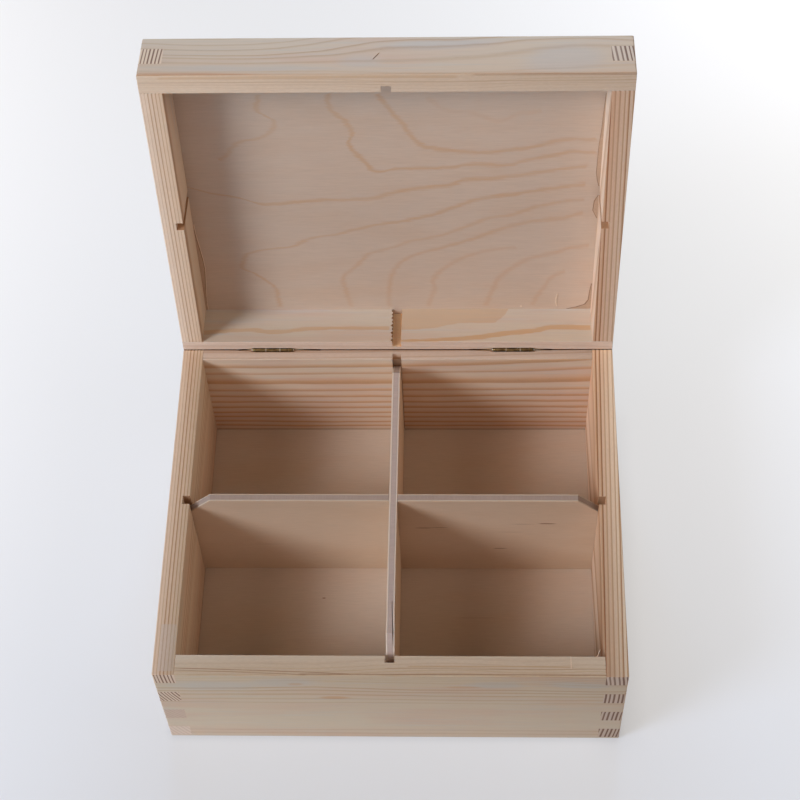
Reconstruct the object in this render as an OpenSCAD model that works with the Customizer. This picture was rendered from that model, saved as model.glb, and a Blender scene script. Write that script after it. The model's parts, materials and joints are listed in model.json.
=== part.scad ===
// Hinged wooden box with two crossed dividers that make four compartments.
// The box is glued up whole with finger joints, then one saw cut parts the lid from the body.
// X runs to the right, Y to the back and Z up. The origin is the middle of the body's underside.
// The lid is drawn fully open, where the bevels on the two back edges meet.

/* [Box] */
// Outside width, left to right
box_w = 220; // [180:1:280]
// Outside depth, front to back
box_d = 186.5; // [150:0.5:240]
// Height of the body, from its underside to the sawn rim
body_h = 71.2; // [60:0.1:90]
// Height of the lid, from its sawn rim to its top
lid_h = 25.8; // [22:0.1:40]
// Thickness of the four wall boards
board_t = 10.4; // [9.5:0.1:13]
// Width of the saw cut that parts the lid from the body
saw_kerf = 3.2; // [1:0.1:4]

/* [Finger joints] */
// Height of one finger
finger_h = 10.1; // [8:0.1:14]
// Height of the lowest joint line above the underside
finger_start = 1.7; // [0.5:0.1:6]

/* [Plywood panels] */
// Thickness of the bottom panel
bottom_t = 3.8; // [3:0.1:6]
// Thickness of the lid panel
lid_panel_t = 3; // [2.5:0.1:6]
// Width of the ledge that each panel is let into
rebate_w = 5; // [3.8:0.1:7]
// Gap all round a panel in its rebate
panel_gap = 0.15; // [0.05:0.05:0.3]

/* [Dividers] */
// Thickness of the divider plywood
divider_t = 4; // [3:0.1:6]
// Height of the dividers above the rim
divider_proud = 2.5; // [1:0.1:6]
// Size of the slanted cut at each top corner of a divider
divider_chamfer = 13.4; // [11:0.1:18]
// Depth of the wall grooves that hold the dividers
groove_depth = 3.6; // [2:0.1:4.5]
// Gap on each side of a divider in its groove
groove_gap = 0.25; // [0.1:0.05:0.4]
// Gap between a divider's end and the bottom of its groove
groove_end_gap = 0.2; // [0.1:0.05:0.5]
// Gap all round the halved joint where the dividers cross
lap_gap = 0.1; // [0.05:0.05:0.3]

/* [Opening] */
// Angle that the lid opens to
open_angle = 97; // [92:1:110]
// Depth of the bevel on each back edge, measured along the rim
bevel_d = 4.6; // [3.6:0.1:5.6]
// Gap between the two rims when the lid is shut
seam_gap = 0.4; // [0.2:0.05:0.6]

/* [Hinges] */
// Place of the left hinge's middle, from the middle of the back
left_hinge_x = -64.4; // [-76:0.1:-50]
// Place of the right hinge's middle, from the middle of the back
right_hinge_x = 58.8; // [50:0.1:76]
// Length of a hinge's three knuckles together
hinge_w = 17.2; // [13:0.1:22]
// Outer radius of the knuckles
knuckle_r = 1.5; // [1.3:0.05:1.8]
// Gap between neighbouring knuckles, and round them in the other leaf
knuckle_gap = 0.2; // [0.1:0.05:0.3]
// Gap round the barrel in the hollow cut for it in the boards
barrel_gap = 0.3; // [0.15:0.05:0.5]
// Thickness of the leaves
leaf_t = 0.8; // [0.5:0.05:1]
// Radius of the hinge pins
pin_r = 0.8; // [0.6:0.05:1]
// Radial running clearance of a pin in its knuckles
pin_gap = 0.04; // [0.02:0.01:0.08]
// Radius of the pins' ends
pin_end_r = 1.15; // [1.1:0.05:1.3]
// Length of a pin's left end
pin_left_end = 1.5; // [1:0.1:3]
// Length of a pin's right end
pin_right_end = 2.8; // [1:0.1:4]
// Gap between a pin's ends and the knuckles
pin_end_gap = 0.1; // [0.05:0.05:0.3]

/* [Hinge slots] */
// Length of the saw slot that holds a leaf, along the rim
slot_l = 42.6; // [38:0.1:48]
// Depth of the saw slot at its middle
slot_depth = 9.8; // [8.5:0.1:12]
// Width of the saw slot
slot_w = 1.5; // [1.3:0.1:2]
// Place of the left slot's middle, from the middle of its hinge
left_slot_shift = 4; // [-5:0.1:5]
// Place of the right slot's middle, from the middle of its hinge
right_slot_shift = -0.6; // [-5:0.1:5]
// Gap between the end of a leaf and the bottom of its slot
leaf_end_gap = 0.4; // [0.2:0.05:0.8]
// Gap between a leaf's barbs and the walls of its slot
barb_gap = 0.05; // [0.02:0.01:0.1]

/* [Colours] */
// Pine of the wall boards
pine = "BurlyWood"; // [BurlyWood, Wheat, Tan]
// Birch plywood of the panels
panel_ply = "Wheat"; // [BurlyWood, Wheat, Tan]
// Plywood of the dividers
divider_ply = "Tan"; // [BurlyWood, Wheat, Tan]
// Brass of the hinges
brass = "DarkGoldenrod"; // [DarkGoldenrod, Goldenrod, Peru]

/* [Hidden] */
$fn = 64;

// Every cut runs this far past the face that it opens
overrun = 1;

// The room inside the walls, and the height of the box before it is sawn
inner_w = box_w - 2 * board_t;
inner_d = box_d - 2 * board_t;
whole_h = body_h + saw_kerf + lid_h;
lid_rim_z = body_h + saw_kerf;

// Joint lines are numbered upwards from the lowest. Even rows show the side boards' end grain.
last_row = ceil(whole_h / finger_h);
first_side_row = 0;
first_end_row = -1;

// The hinge axis lies at the inner edge of the bevels, in the middle of the seam
pivot_y = box_d / 2 - bevel_d;
pivot_z = body_h + seam_gap / 2;
bevel_angle = open_angle / 2;

divider_top = body_h + divider_proud;
lap_z = (bottom_t + divider_top) / 2;

// The saw blade's radius follows from the length and the depth of the slot that it leaves
slot_r = (pow(slot_l / 2, 2) + pow(slot_depth, 2)) / (2 * slot_depth);
slot_rise = slot_r - slot_depth;

// Each leaf goes as deep as the round slot lets its farther corner go
farther_corner = hinge_w / 2 + max(abs(left_slot_shift), abs(right_slot_shift));
leaf_reach = sqrt(pow(slot_r, 2) - pow(farther_corner, 2)) - slot_rise - leaf_end_gap;

knuckles = 3;
knuckle_l = (hinge_w - (knuckles - 1) * knuckle_gap) / knuckles;
body_knuckles = [0, 2];
lid_knuckles = [1];

// Barbs stand on both faces of a leaf, at shares of its width and of its reach
barb_out = (slot_w - leaf_t) / 2 - barb_gap;
barb_shares = [-0.3, 0, 0.3];
barb_top_share = 0.6;
barb_h = leaf_reach / 4;
barb_w = hinge_w / 12;

// Turns the lid, drawn shut in the whole box's own heights, to its open place
module open_lid() {
    translate([0, pivot_y, pivot_z])
        rotate([-open_angle, 0, 0])
            translate([0, -pivot_y, seam_gap - saw_kerf - pivot_z])
                children();
}

// Keeps what lies between two heights of the whole box
module sawn(low, high) {
    intersection() {
        children();
        translate([0, 0, (low + high) / 2])
            cube([box_w + 2 * overrun, box_d + 2 * overrun, high - low], center = true);
    }
}

module body_half() {
    sawn(-overrun, body_h) children();
}

module lid_half() {
    sawn(lid_rim_z, whole_h + overrun) children();
}

// Grooves for both dividers, which run on up through the lid
module divider_grooves() {
    groove_w = divider_t + 2 * groove_gap;
    translate([0, 0, whole_h / 2]) {
        cube([groove_w, inner_d + 2 * groove_depth, whole_h + 2 * overrun], center = true);
        cube([inner_w + 2 * groove_depth, groove_w, whole_h + 2 * overrun], center = true);
    }
}

// Rebate for a panel: its low face at a height, as deep as the panel is thick, with overrun added
module panel_rebate(low, deep) {
    translate([0, 0, low + deep / 2])
        cube([inner_w + 2 * rebate_w, inner_d + 2 * rebate_w, deep], center = true);
}

// Bevel along the back edge of a rim; up is 1 for the lid's and -1 for the body's
module rim_bevel(rim_z, up) {
    run = bevel_d + overrun;
    rotate([90, 0, 90])
        linear_extrude(height = box_w + 2 * overrun, center = true)
            polygon([[pivot_y, rim_z],
                     [pivot_y + run, rim_z + up * run * tan(bevel_angle)],
                     [pivot_y + run, rim_z - up * overrun],
                     [pivot_y, rim_z - up * overrun]]);
}

// Everything that is cut from a wall board besides its fingers and its hinge slots
module wall_cuts() {
    divider_grooves();
    panel_rebate(-overrun, bottom_t + overrun);
    panel_rebate(whole_h - lid_panel_t, lid_panel_t + overrun);
    rim_bevel(body_h, -1);
    rim_bevel(lid_rim_z, 1);
}

// Notches through a board's end for its neighbour's fingers, in every other row
module finger_notches(first, across, along) {
    for (row = [first : 2 : last_row])
        translate([0, 0, finger_start + (row + 1 / 2) * finger_h])
            cube([across, along, finger_h], center = true);
}

// A whole side board; side is -1 on the left and 1 on the right
module side_board(side) {
    middle_x = side * (inner_w + board_t) / 2;
    difference() {
        translate([middle_x, 0, whole_h / 2])
            cube([board_t, box_d, whole_h], center = true);
        for (end = [-1, 1])
            translate([middle_x, end * (box_d - board_t + overrun) / 2, 0])
                finger_notches(first_end_row, board_t + 2 * overrun, board_t + overrun);
        wall_cuts();
    }
}

// A whole front or back board; end is -1 at the front and 1 at the back
module end_board(end) {
    middle_y = end * (inner_d + board_t) / 2;
    difference() {
        translate([0, middle_y, whole_h / 2])
            cube([box_w, board_t, whole_h], center = true);
        for (side = [-1, 1])
            translate([side * (box_w - board_t + overrun) / 2, middle_y, 0])
                finger_notches(first_side_row, board_t + overrun, board_t + 2 * overrun);
        wall_cuts();
    }
}

// Saw slot and barrel hollow of one hinge, in a rim; up is 1 for the lid and -1 for the body
module hinge_cut(hinge_x, slot_shift, rim_z, up) {
    translate([hinge_x + slot_shift, pivot_y, rim_z - up * slot_rise])
        rotate([90, 0, 0])
            cylinder(r = slot_r, h = slot_w, center = true);
    hollow_left = hinge_w / 2 + pin_end_gap + pin_left_end + barrel_gap;
    hollow_right = hinge_w / 2 + pin_end_gap + pin_right_end + barrel_gap;
    translate([hinge_x - hollow_left, pivot_y, rim_z - up * seam_gap / 2])
        rotate([0, 90, 0])
            cylinder(r = knuckle_r + barrel_gap, h = hollow_left + hollow_right);
}

module hinge_cuts(rim_z, up) {
    hinge_cut(left_hinge_x, left_slot_shift, rim_z, up);
    hinge_cut(right_hinge_x, right_slot_shift, rim_z, up);
}

// A panel in its rebate, with its low face at a height
module panel(low, thick) {
    room_w = inner_w + 2 * (rebate_w - panel_gap);
    room_d = inner_d + 2 * (rebate_w - panel_gap);
    translate([0, 0, low + thick / 2])
        cube([room_w, room_d, thick], center = true);
}

// A divider standing across X, with its ends in the grooves of two walls that far apart
module divider_blank(between_walls) {
    half = between_walls / 2 + groove_depth - groove_end_gap;
    rotate([90, 0, 0])
        linear_extrude(height = divider_t, center = true)
            polygon([[-half, bottom_t], [half, bottom_t],
                     [half, divider_top - divider_chamfer], [half - divider_chamfer, divider_top],
                     [divider_chamfer - half, divider_top], [-half, divider_top - divider_chamfer]]);
}

// Slot of the halved joint, from the middle of the dividers' height to past one edge
module lap_slot(up) {
    slot_h = (divider_top - bottom_t) / 2 + overrun + lap_gap;
    width = divider_t + 2 * lap_gap;
    translate([0, 0, lap_z + up * (slot_h / 2 - lap_gap)])
        cube([width, width, slot_h], center = true);
}

module knuckle_tube(first, radius, grow) {
    translate([first * (knuckle_l + knuckle_gap) - hinge_w / 2 - grow, 0, 0])
        rotate([0, 90, 0])
            cylinder(r = radius, h = knuckle_l + 2 * grow);
}

// One wedge that bites into the wall of the slot; it rises towards the rim
module barb(side) {
    translate([-barb_w / 2, side * leaf_t / 2, -leaf_reach * barb_top_share])
        rotate([90, 0, 90])
            linear_extrude(height = barb_w)
                polygon([[0, 0], [side * barb_out, 0], [0, -barb_h], [-side * leaf_t / 2, 0]]);
}

// A leaf with its own knuckles round the X axis, cut clear of the other leaf's. It hangs down.
module hinge_leaf(own, others) {
    difference() {
        union() {
            translate([-hinge_w / 2, -leaf_t / 2, -leaf_reach])
                cube([hinge_w, leaf_t, leaf_reach]);
            for (place = own) knuckle_tube(place, knuckle_r, 0);
            for (share = barb_shares, side = [-1, 1])
                translate([share * hinge_w, 0, 0]) barb(side);
        }
        for (place = others) knuckle_tube(place, knuckle_r + knuckle_gap, knuckle_gap);
        rotate([0, 90, 0])
            cylinder(r = pin_r + pin_gap, h = hinge_w + 2 * overrun, center = true);
    }
}

module body_leaf(hinge_x) {
    translate([hinge_x, pivot_y, pivot_z]) hinge_leaf(body_knuckles, lid_knuckles);
}

module lid_leaf(hinge_x) {
    translate([hinge_x, pivot_y, pivot_z])
        rotate([180 - open_angle, 0, 0])
            hinge_leaf(lid_knuckles, body_knuckles);
}

// A pin with a longer, hammered right end
module hinge_pin(hinge_x) {
    shaft_l = hinge_w + 2 * pin_end_gap;
    translate([hinge_x - shaft_l / 2, pivot_y, pivot_z])
        rotate([0, 90, 0]) {
            cylinder(r = pin_r, h = shaft_l);
            translate([0, 0, -pin_left_end])
                cylinder(r1 = pin_r, r2 = pin_end_r, h = pin_left_end);
            translate([0, 0, shaft_l])
                cylinder(r1 = pin_end_r, r2 = pin_r, h = pin_right_end);
        }
}

module left_board() {
    color(pine) body_half() side_board(-1);
}

module right_board() {
    color(pine) body_half() side_board(1);
}

module front_board() {
    color(pine) body_half() end_board(-1);
}

module back_board() {
    color(pine)
        difference() {
            body_half() end_board(1);
            hinge_cuts(body_h, -1);
        }
}

module bottom_panel() {
    color(panel_ply) panel(0, bottom_t);
}

module long_divider() {
    color(divider_ply)
        difference() {
            rotate([0, 0, 90]) divider_blank(inner_d);
            lap_slot(-1);
        }
}

module cross_divider() {
    color(divider_ply)
        difference() {
            divider_blank(inner_w);
            lap_slot(1);
        }
}

module left_hinge_body_leaf() {
    color(brass) body_leaf(left_hinge_x);
}

module right_hinge_body_leaf() {
    color(brass) body_leaf(right_hinge_x);
}

module left_hinge_pin() {
    color(brass) hinge_pin(left_hinge_x);
}

module right_hinge_pin() {
    color(brass) hinge_pin(right_hinge_x);
}

module lid_left_board() {
    color(pine) open_lid() lid_half() side_board(-1);
}

module lid_right_board() {
    color(pine) open_lid() lid_half() side_board(1);
}

module lid_front_board() {
    color(pine) open_lid() lid_half() end_board(-1);
}

module lid_back_board() {
    color(pine)
        open_lid()
            difference() {
                lid_half() end_board(1);
                hinge_cuts(lid_rim_z, 1);
            }
}

module lid_panel() {
    color(panel_ply) open_lid() panel(whole_h - lid_panel_t, lid_panel_t);
}

module left_hinge_lid_leaf() {
    color(brass) lid_leaf(left_hinge_x);
}

module right_hinge_lid_leaf() {
    color(brass) lid_leaf(right_hinge_x);
}

left_board();
right_board();
front_board();
back_board();
bottom_panel();
long_divider();
cross_divider();
left_hinge_body_leaf();
right_hinge_body_leaf();
left_hinge_pin();
right_hinge_pin();
lid_left_board();
lid_right_board();
lid_front_board();
lid_back_board();
lid_panel();
left_hinge_lid_leaf();
right_hinge_lid_leaf();
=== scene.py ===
"""Looks of a hinged pine box with four compartments, built in Blender around its CAD model.

Sizes are in metres in the CAD frame: X to the right, Y to the back, Z up. The lid is drawn fully open.
The box was glued up whole and sawn in two, so the grain of each wall runs on from the body into the lid.
Materials therefore read the heights of the whole box, with the lid turned back on to the body.
"""

import json
import math
import random
from typing import NamedTuple

import bpy
from mathutils import Matrix, Vector


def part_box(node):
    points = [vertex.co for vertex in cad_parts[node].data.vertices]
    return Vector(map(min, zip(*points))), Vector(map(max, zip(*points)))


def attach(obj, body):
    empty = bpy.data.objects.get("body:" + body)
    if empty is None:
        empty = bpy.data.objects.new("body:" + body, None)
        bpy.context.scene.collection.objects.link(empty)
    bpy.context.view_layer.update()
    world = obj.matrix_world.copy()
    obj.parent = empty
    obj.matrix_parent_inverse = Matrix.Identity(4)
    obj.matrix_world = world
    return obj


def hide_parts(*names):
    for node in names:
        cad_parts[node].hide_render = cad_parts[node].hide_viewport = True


bl_info = {
    "name": "Compartment Box Looks",
    "version": (1, 0, 0),
    "blender": (4, 5, 0),
    "location": "View3D > Sidebar > Compartment Box",
    "description": "Eased boards, plywood, hinges, glue marks and stage of a hinged pine box",
    "category": "Object",
}

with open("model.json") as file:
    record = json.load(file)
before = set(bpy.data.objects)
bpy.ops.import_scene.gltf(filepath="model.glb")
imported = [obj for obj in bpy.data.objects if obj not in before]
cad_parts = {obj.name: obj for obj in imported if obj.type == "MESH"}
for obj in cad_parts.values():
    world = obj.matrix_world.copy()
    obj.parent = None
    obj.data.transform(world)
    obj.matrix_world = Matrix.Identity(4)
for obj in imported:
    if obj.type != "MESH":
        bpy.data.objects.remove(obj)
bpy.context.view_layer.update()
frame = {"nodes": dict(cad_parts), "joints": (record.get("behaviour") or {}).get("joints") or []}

MM = 0.001

# Places that come from the CAD model
LID_JOINT = frame["joints"][0]
HINGE_AXIS = Vector(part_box("left_hinge_pin")[0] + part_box("left_hinge_pin")[1]) / 2
HINGE_AXIS.x = 0
OPEN_ANGLE = math.radians(LID_JOINT["range_deg"][1])
HALF_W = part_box("front_board")[1].x
HALF_D = -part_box("front_board")[0].y
WALL_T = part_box("front_board")[1].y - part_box("front_board")[0].y
BODY_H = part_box("front_board")[1].z
DIVIDER_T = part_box("cross_divider")[1].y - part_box("cross_divider")[0].y
DIVIDER_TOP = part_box("cross_divider")[1].z

# The lid's height, the gap under the shut lid, and what the saw took away, in metres
LID_H = 25.8 * MM
SEAM_GAP = 0.4 * MM
SAW_KERF = 3.2 * MM
LID_LIFT = SAW_KERF - SEAM_GAP

# Two places that are closer than this are one
NEAR = 0.02 * MM

# Turns the open lid back on to the body
SHUT = (Matrix.Translation(HINGE_AXIS) @ Matrix.Rotation(OPEN_ANGLE, 4, "X")
        @ Matrix.Translation(-HINGE_AXIS))


def tone(written):
    """A colour written as six hex digits, as the linear colour that Blender wants."""
    shares = [int(written[i:i + 2], 16) / 255 for i in (0, 2, 4)]
    return tuple(s / 12.92 if s <= 0.04045 else ((s + 0.055) / 1.055) ** 2.4 for s in shares)


def size_prop(name, description, default):
    return bpy.props.FloatProperty(name=name, description=description, default=default, min=0,
                                   unit="LENGTH", precision=5)


def colour_prop(name, description, written):
    return bpy.props.FloatVectorProperty(name=name, description=description, default=tone(written),
                                         size=3, min=0, max=1, subtype="COLOR")


class BoxSizes(bpy.types.PropertyGroup):
    """Sizes of the small shapes that the CAD model leaves to the looks"""

    corner_ease: size_prop("Corner ease", "Rounding of the outer corners of the box", 0.8 * MM)
    rim_ease: size_prop("Rim ease", "Rounding of the sawn rims' outer edges", 0.4 * MM)
    inner_ease: size_prop("Inner ease", "Rounding of the rims' inner edges", 0.3 * MM)
    seam_ease: size_prop("Seam ease", "Rounding of the edges that meet at the open lid", 0.5 * MM)
    joint_line: size_prop("Joint line", "Half width of the line at a glued joint", 0.07 * MM)
    ply_ease: size_prop("Plywood ease", "Rounding of the plywood edges", 0.25 * MM)
    foot_ease: size_prop("Foot ease", "Rounding of the dividers' lower edges", 0.5 * MM)
    veneer: size_prop("Face veneer", "Thickness of a divider's face veneer", 0.85 * MM)
    brass_ease: size_prop("Brass ease", "Rounding of the hinge parts", 0.12 * MM)


class BoxColours(bpy.types.PropertyGroup):
    """Colours of the woods, the brass and the floor"""

    early_wood: colour_prop("Early wood", "Pale part of a pine growth ring", "D3BEA8")
    late_wood: colour_prop("Late wood", "Tan part of a pine growth ring", "BE9870")
    ring_line: colour_prop("Ring line", "Thin dark end of a pine growth ring", "8E6244")
    orange_wood: colour_prop("Orange wood", "Broad resinous late wood", "CC9A68")
    warm_wood: colour_prop("Warm wood", "Warm patches in the pine", "CBA07E")
    pink_wood: colour_prop("Pink wood", "Pink patches in the pine", "D2AE99")
    grey_wood: colour_prop("Grey wood", "Cool patches in the pine", "C6BDB6")
    end_early: colour_prop("End grain, pale", "Pale part of a ring on an end", "CDB9A6")
    end_warm: colour_prop("End grain, warm", "End grain without clear rings", "C4AE9E")
    end_pale: colour_prop("End grain, near the heart", "Pale end grain near the heart", "D8C6B8")
    end_late: colour_prop("End grain, dark", "Dark part of a ring on an end", "7C5D4B")
    cut_wood: colour_prop("Cut wood", "Sawn walls of the slots", "B08C6C")
    veneer: colour_prop("Panel veneer", "Face of the lid panel", "CAB8A7")
    bottom: colour_prop("Bottom veneer", "Face of the bottom panel", "C6B7A8")
    veneer_line: colour_prop("Panel figure", "Figure of the panels' face", "C39A72")
    divider_face: colour_prop("Divider veneer", "Face veneer of the dividers", "D6BFA7")
    divider_core: colour_prop("Divider core", "Cross-laid core of the plywood", "B4A49B")
    veneer_edge: colour_prop("Veneer edge", "Edges of the face veneers", "D2C4B4")
    mineral: colour_prop("Mineral streak", "Dark streaks in the dividers", "7A5038")
    brass: colour_prop("Brass", "Hinge barrels and pins", "8F7A50")
    brass_dull: colour_prop("Dull brass", "Tarnished brass", "5F4D32")
    # Painted highlight at the ends of the hinge knuckles
    brass_glint: colour_prop("Brass glint", "Bright ends of the hinge knuckles", "F2E8D2")
    glue: colour_prop("Glue", "Beads of dried glue and loose fibres", "E8D5C0")
    glue_shade: colour_prop("Glue edge", "Dark edges of dried glue", "94745A")
    glue_film: colour_prop("Glue film", "Thin film of dried glue", "C2A78F")
    floor: colour_prop("Floor", "Studio floor", "FBFBFC")


def operator(operation, turned=False):
    """A Value's operator, which adds one Math node. turned: the other number comes first."""
    def act(self, other):
        pair = (other, self) if turned else (self, other)
        return self.maths(operation, *pair)

    return act


class Value:
    """A number in a material. The usual operators on it add Math nodes."""

    def __init__(self, recipe, socket):
        self.recipe = recipe
        self.socket = socket

    def maths(self, operation, *values):
        return self.recipe.node("ShaderNodeMath", {"operation": operation},
                                dict(enumerate(values)))

    __add__ = operator("ADD")
    __radd__ = operator("ADD", True)
    __sub__ = operator("SUBTRACT")
    __rsub__ = operator("SUBTRACT", True)
    __mul__ = operator("MULTIPLY")
    __rmul__ = operator("MULTIPLY", True)
    __truediv__ = operator("DIVIDE")
    at_least = operator("MAXIMUM")
    at_most = operator("MINIMUM")

    def size(self):
        return self.maths("ABSOLUTE", self)

    def root(self):
        return self.maths("SQRT", self)

    def whole(self):
        return self.maths("FLOOR", self)

    def ramp(self, low, high):
        """Smooth step from 0 at low to 1 at high."""
        return self.recipe.node("ShaderNodeMapRange", {"interpolation_type": "SMOOTHSTEP"},
                                {"Value": self, "From Min": low, "From Max": high})

    def between(self, low, high, soft):
        """1 from low to high, fading to 0 over soft outside them."""
        return self.ramp(low - soft, low) * (1 - self.ramp(high, high + soft))


# How far each seed shifts a noise pattern along X, Y and Z
SEED_SHIFTS = (7.31, 3.77, 5.13)


class Recipe:
    """A procedural material. Patterns read millimetres of the whole box, from the mesh's own place."""

    def __init__(self, name, on_lid=False):
        self.material = bpy.data.materials.new(name)
        self.material.use_nodes = True
        self.tree = self.material.node_tree
        self.tree.nodes.clear()
        coords = self.tree.nodes.new("ShaderNodeTexCoord")
        turn = Matrix.Identity(4)
        if on_lid:
            turn = Matrix.Translation((0, 0, LID_LIFT)) @ SHUT
        self.place = self.node(
            "ShaderNodeMapping", {},
            {"Vector": Value(self, coords.outputs["Object"]),
             "Location": turn.to_translation() / MM,
             "Rotation": turn.to_euler(),
             "Scale": (1 / MM,) * 3})
        self.normal = self.node(
            "ShaderNodeMapping", {"vector_type": "POINT"},
            {"Vector": Value(self, coords.outputs["Normal"]), "Rotation": turn.to_euler()})
        self.x, self.y, self.z = self.parts(self.place)

    def node(self, kind, settings, sockets, output=0):
        """Adds one node: its settings first, then its sockets, each a link or a plain value."""
        node = self.tree.nodes.new(kind)
        for key, value in settings.items():
            setattr(node, key, value)
        for key, value in sockets.items():
            if isinstance(value, Value):
                self.tree.links.new(value.socket, node.inputs[key])
            else:
                node.inputs[key].default_value = value
        return Value(self, node.outputs[output])

    def parts(self, vector):
        """X, Y and Z of a vector."""
        first = self.node("ShaderNodeSeparateXYZ", {}, {"Vector": vector})
        outputs = first.socket.node.outputs
        return [Value(self, outputs[i]) for i in range(3)]

    def spot(self, x, y, z):
        return self.node("ShaderNodeCombineXYZ", {}, {"X": x, "Y": y, "Z": z})

    def noise(self, per_mm, seed, detail=2.0):
        """Noise from 0 to 1, with so many lumps for each millimetre along X, Y and Z."""
        stretched = self.node("ShaderNodeVectorMath", {"operation": "MULTIPLY_ADD"},
                              {0: self.place, 1: per_mm, 2: [seed * shift for shift in SEED_SHIFTS]})
        return self.node("ShaderNodeTexNoise", {"noise_dimensions": "3D"},
                         {"Vector": stretched, "Scale": 1.0, "Detail": detail})

    def chance(self, number):
        """A random number from 0 to 1 for each whole number."""
        return self.node("ShaderNodeTexWhiteNoise", {"noise_dimensions": "1D"}, {"W": number})

    def lines(self, number, seed):
        """Smooth one-way noise."""
        return self.node("ShaderNodeTexNoise", {"noise_dimensions": "1D"},
                         {"W": number + seed * 4.7, "Scale": 1.0, "Detail": 1.0})

    def blend(self, share, first, second, how="MIX"):
        """Mixes two colours."""
        ends = {0: share}
        for key, colour in ((6, first), (7, second)):
            ends[key] = colour if isinstance(colour, Value) else (*colour, 1)
        return self.node("ShaderNodeMix", {"data_type": "RGBA", "blend_type": how}, ends, 2)

    def times(self, colour, factors):
        """A colour times its own factor in red, green and blue."""
        return self.blend(1.0, colour, factors, "MULTIPLY")

    def shade(self, colour, amount):
        """A colour made lighter or darker by a factor that changes from place to place."""
        return self.times(colour, self.spot(amount, amount, amount))

    def tilted(self, colour, level, way, slopes):
        """A colour times a level that changes along a way, by its own slope in red, green and blue."""
        factors = [(level + way * slope).at_least(0) for slope in slopes]
        return self.times(colour, self.spot(*factors))

    def bump(self, height, strength, distance):
        return self.node("ShaderNodeBump", {},
                         {"Height": height, "Strength": strength, "Distance": distance})

    def curve(self, value, points, smooth=False):
        """A value read off a curve through points. The curve is level beyond its ends."""
        across = [p[0] for p in points]
        up = [p[1] for p in points]
        low, high = min(across), max(across)
        least, most = min(up), max(up)
        reading = self.node("ShaderNodeFloatCurve", {}, {"Value": (value - low) / (high - low)})
        mapping = reading.socket.node.mapping
        line = mapping.curves[0]
        while len(line.points) < len(points):
            line.points.new(0.5, 0.5)
        for point, (x, y) in zip(line.points, sorted(points)):
            point.location = ((x - low) / (high - low), (y - least) / (most - least))
            point.handle_type = "AUTO_CLAMPED" if smooth else "VECTOR"
        mapping.update()
        return reading * (most - least) + least

    def facing(self, axis):
        """How far a face looks along an axis, either way: 0 to 1."""
        return self.node("ShaderNodeVectorMath", {"operation": "DOT_PRODUCT"},
                         {0: self.normal, 1: axis}, "Value").size()

    def traced(self, middle, points, wander, fade):
        """A soft line through points on a level face, which fades to both sides.

        The line turns round a middle without doubling back.
        """
        start = Vector(points[len(points) // 2]) - Vector(middle)
        start.normalize()
        away_x = self.x - middle[0]
        away_y = self.y - middle[1]
        ahead = away_x * start.x + away_y * start.y
        aside = away_y * start.x - away_x * start.y
        turn = aside.maths("ARCTAN2", aside, ahead)
        reach = (away_x * away_x + away_y * away_y).root()
        polar = []
        for point in points:
            out = Vector(point) - Vector(middle)
            polar.append((math.atan2(out.y * start.x - out.x * start.y, out.dot(start)), out.length))
        line = self.curve(turn, sorted(polar), smooth=True)
        low, high = min(p[0] for p in polar), max(p[0] for p in polar)
        within = turn.between(low, high, 0.015)
        return (1 - (reach - line + wander).size().ramp(0, fade)) * within

    def hill(self, across, up, middle, reach):
        """A smooth round hill: 1 in its middle, fading to 0."""
        wide = (across - middle[0]) / reach[0]
        high = (up - middle[1]) / reach[1]
        fall = (wide * wide + high * high) * -0.5
        return fall.maths("EXPONENT", fall)

    def finish(self, sockets):
        """Ends the material in one Principled shader."""
        return self.output(self.node("ShaderNodeBsdfPrincipled", {}, sockets))

    def output(self, shader):
        ending = self.tree.nodes.new("ShaderNodeOutputMaterial")
        self.tree.links.new(shader.socket, ending.inputs["Surface"])
        return self.material


# Growth rings are laid out to this distance from the heart, in mm
RINGS_REACH = 150


class Log(NamedTuple):
    """How a wall was sawn from its log. Lengths are in millimetres of the whole box.

    runs: the axis that the board's length follows.
    height, depth: place of the log's heart, each as the factors of a polynomial in the place along the
    board, in units of 100 mm.
    rings: the years that show: radius at which each ends, how strong it is, share of its late wood.
    spacing, uneven, late: width of all other rings, how much it varies, and their share of late wood.
    hills: where the rings lie higher: place along, height, reach along, reach in height, lift.
    patches: colour patches: colour, strength, place along, height, reach along, reach in height.
    strength: how strong all rings are. full: share of a ring's late wood over which it grows to its
    full tone. soft: season in which a ring begins to end. line: strength of its dark line.
    tone: its late wood.
    bars: strength of the rings on the board's ends. fade: heights between which those set in.
    squash: heights below the first and above the second count only by the share that comes third.
    """

    runs: str
    height: tuple
    depth: tuple
    seed: int
    rings: tuple = ()
    spacing: float = 1.8
    uneven: float = 0.0
    late: tuple = (0.25, 0.6)
    hills: tuple = ()
    patches: tuple = ()
    strength: float = 1.0
    full: float = 0.9
    soft: float = 0.93
    line: float = 0.7
    tone: str = "late_wood"
    bars: float = 1.0
    fade: tuple = (-2, -1)
    squash: tuple = (-10, 110, 1)

    def years(self):
        """All rings out to their reach: end, strength, share of late wood."""
        rings = list(self.rings)
        dice = random.Random(self.seed)
        while rings[-1][0] < RINGS_REACH:
            rings.append((rings[-1][0] + self.spacing * dice.uniform(0.8, 1.2), dice.uniform(0.4, 1.0),
                          dice.uniform(*self.late)))
        return rings


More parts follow.
